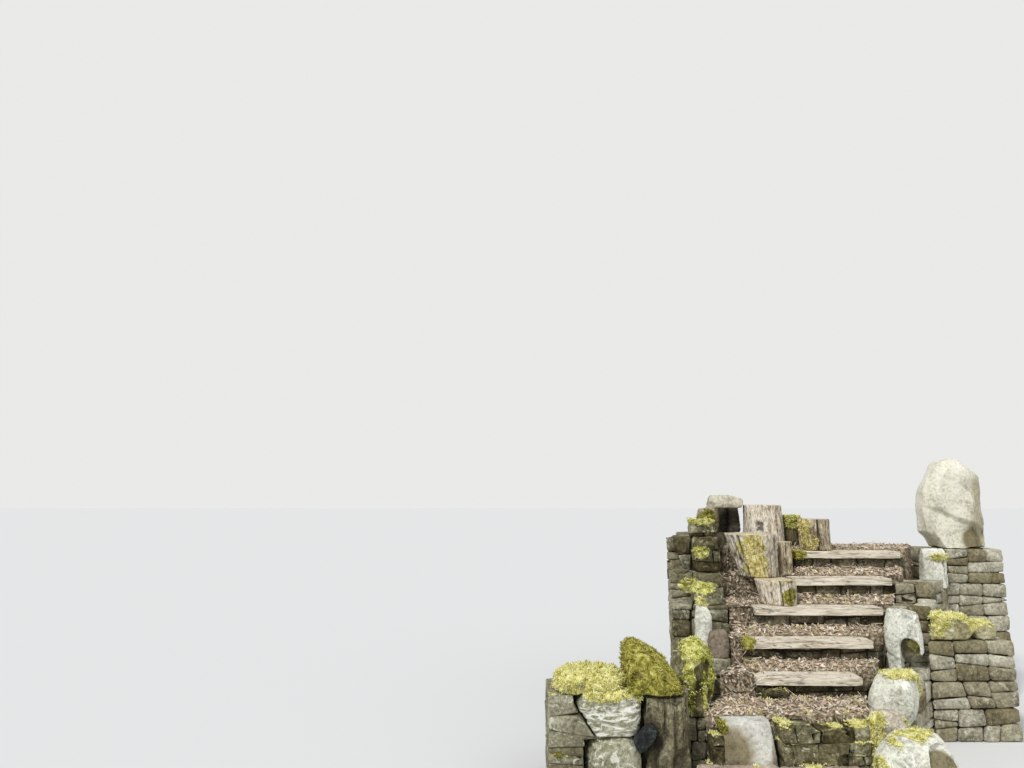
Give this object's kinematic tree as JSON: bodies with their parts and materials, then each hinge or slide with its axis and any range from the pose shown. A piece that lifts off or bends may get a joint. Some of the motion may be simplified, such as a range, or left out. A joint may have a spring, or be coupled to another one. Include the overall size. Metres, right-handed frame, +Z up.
{
  "type": "garden steps with timber edged treads, stone risers and dry stone flank walls",
  "caption": "Short flight of rustic garden steps: timber edged earth treads on stone risers, mossy dry stone walls, cut logs and pale boulders beside them.",
  "frame": {"origin": "on the flat underside, under the front edge of the middle board, near the middle of the flight", "axes": "+X to the right of someone climbing, along the boards; +Y up the flight, away from its foot; +Z up"},
  "size_m": [3.8332, 2.326, 1.93],
  "materials": {
    "pale_stone": "rough, pale weathered stone with grey speckle and some moss",
    "wall_stone": "rough rubble stone with lichen",
    "step_stone": "rough stone, damp and partly mossy",
    "mossy_stone": "stone covered by yellow green moss",
    "weathered_board": "bare softwood, weathered grey and split along the grain",
    "log_wood": "bark on round wood with sawn ends",
    "leaf_earth": "loose earth under dry leaf litter"
  },
  "bodies": {
    "root": {"foot_flags": "step_stone", "riser_block": "pale_stone", "riser_stones": "step_stone", "board_1": "weathered_board", "board_2": "weathered_board", "board_3": "weathered_board", "board_4": "weathered_board", "board_5": "weathered_board", "stone_risers": "step_stone", "tread_fill_1": "leaf_earth", "tread_fill_2": "leaf_earth", "tread_fill_3": "leaf_earth", "tread_fill_4": "leaf_earth", "tread_fill_5": "leaf_earth", "landing_fill": "leaf_earth", "side_bank": "leaf_earth", "left_flank_wall": "wall_stone", "right_flank_wall": "wall_stone", "back_wall": "wall_stone", "corner_wall": "wall_stone", "return_wall": "wall_stone", "standing_stone_pier": "wall_stone", "corner_quoin": "wall_stone", "corner_base_block": "wall_stone", "corner_side_stone": "wall_stone", "mossy_slab": "mossy_stone", "mossy_cap_stone": "mossy_stone", "mossy_boulder": "mossy_stone", "brown_stone": "step_stone", "white_stone": "pale_stone", "left_coping_stones": "mossy_stone", "top_slab": "pale_stone", "log_lower": "log_wood", "log_mossy": "log_wood", "log_thin": "log_wood", "log_upper": "log_wood", "log_landing": "log_wood", "log_back": "log_wood", "foot_boulder": "pale_stone", "wedge_stone": "mossy_stone", "round_boulder": "pale_stone", "notched_block": "pale_stone", "small_block": "pale_stone", "standing_stone": "pale_stone", "return_caps": "mossy_stone"}
  },
  "joints": []
}
